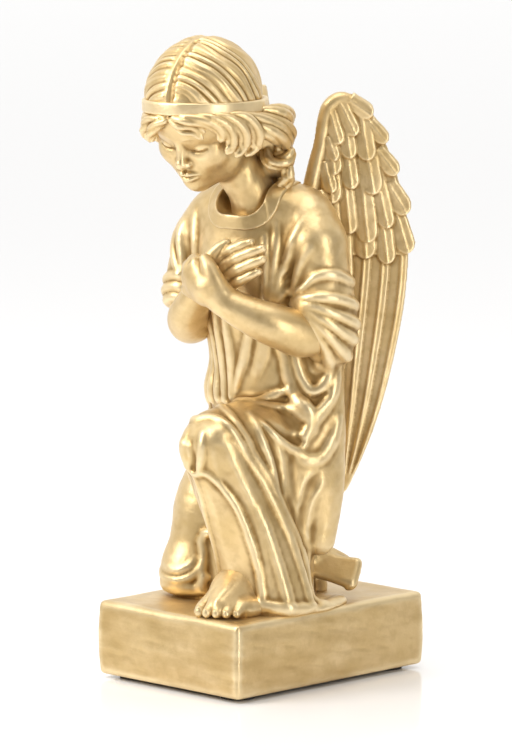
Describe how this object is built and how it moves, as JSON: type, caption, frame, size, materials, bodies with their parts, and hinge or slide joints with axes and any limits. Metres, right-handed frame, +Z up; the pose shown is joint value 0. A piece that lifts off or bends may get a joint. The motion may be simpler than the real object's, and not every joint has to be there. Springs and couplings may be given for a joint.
{
  "type": "angel figurine",
  "caption": "Kneeling winged child figurine in antiqued gold resin, arms crossed on the chest, head bowed, on a block plinth.",
  "frame": {"origin": "on the surface the figurine stands on, below the middle of its overall box", "axes": "+Z up; the figure faces -Y, so its left side is +X"},
  "size_m": [0.1216, 0.1502, 0.3605],
  "materials": {
    "gold_resin": "satin metallic gold paint over cast resin, darker wash in the recesses",
    "rubber": "matt black",
    "steel": "zinc plated",
    "board": "brown fibreboard"
  },
  "bodies": {
    "root": {"plinth": "gold_resin", "underside_cover": "board", "foot_pad_front_left": "rubber", "foot_pad_front_right": "rubber", "foot_pad_rear_left": "rubber", "foot_pad_rear_right": "rubber", "screw_front": "steel", "screw_rear": "steel", "washer_front": "steel", "washer_rear": "steel", "robe_body": "gold_resin", "left_foot": "gold_resin", "right_foot": "gold_resin", "left_forearm": "gold_resin", "right_forearm": "gold_resin", "head": "gold_resin", "headband": "gold_resin", "left_wing": "gold_resin", "right_wing": "gold_resin", "neck_dowel": "steel", "left_arm_dowel": "steel", "right_arm_dowel": "steel", "left_wing_upper_dowel": "steel", "left_wing_lower_dowel": "steel", "right_wing_upper_dowel": "steel", "right_wing_lower_dowel": "steel"}
  },
  "joints": []
}
